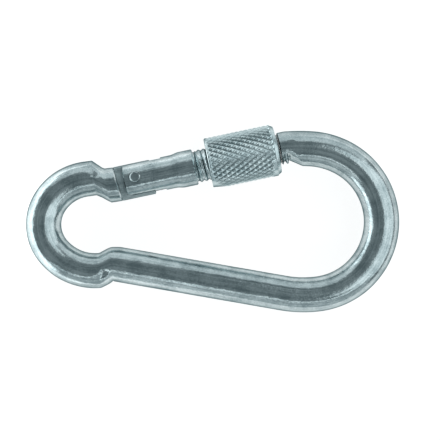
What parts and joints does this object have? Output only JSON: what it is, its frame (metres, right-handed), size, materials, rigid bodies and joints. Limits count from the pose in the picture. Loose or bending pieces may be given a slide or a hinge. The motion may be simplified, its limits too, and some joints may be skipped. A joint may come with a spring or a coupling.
{
  "type": "screw-lock snap hook key ring",
  "caption": "Bent-bar snap hook for keys: spring gate on a rivet, threaded stem and nose, knurled locking sleeve and a small closed eye.",
  "frame": {"origin": "middle of the hook's outline, on the surface that the sleeve rests on", "axes": "+X from the small eye to the big bend, +Y from the spine to the gate, +Z square to the hook's plane"},
  "size_m": [0.06, 0.0302, 0.0083],
  "materials": {
    "hook_zinc": "bright blue-white zinc plating over drawn and bent steel bar, fine draw marks",
    "gate_zinc": "bright blue-white zinc plating over turned steel, fine turning marks",
    "sleeve_zinc": "bright blue-white zinc plating over a diamond-knurled steel sleeve",
    "rivet_steel": "zinc plated, flat hammered head",
    "plunger_steel": "plain turned steel, lightly oiled",
    "spring_steel": "drawn spring wire"
  },
  "bodies": {
    "hook": {"hook_body": "hook_zinc"},
    "gate": {"gate": "gate_zinc", "hinge_rivet": "rivet_steel", "gate_spring": "spring_steel"},
    "plunger": {"spring_plunger": "plunger_steel"},
    "sleeve": {"screw_sleeve": "sleeve_zinc"}
  },
  "joints": [
    {"name": "gate_hinge", "type": "hinge", "parent": "hook", "child": "gate", "pos_m": [-0.01235, 0.00662, 0.00417], "axis": [0, 0, -1], "range_deg": [0, 37], "stiffness_Nm_per_rad": 0.02, "springref_deg": -22.92},
    {"name": "sleeve_travel", "type": "slide", "parent": "gate", "child": "sleeve", "axis": [0.9781, 0.2079, 0], "range_m": [-0.0021, 0.0022]},
    {"name": "plunger_push", "type": "slide", "parent": "gate", "child": "plunger", "axis": [0.9781, 0.2079, 0], "range_m": [0, 0.0018], "deforming": ["gate_spring"]}
  ],
  "couplings": [
    {"joint": "plunger_push", "follows": "gate_hinge", "m_per_rad": 0.0026}
  ]
}
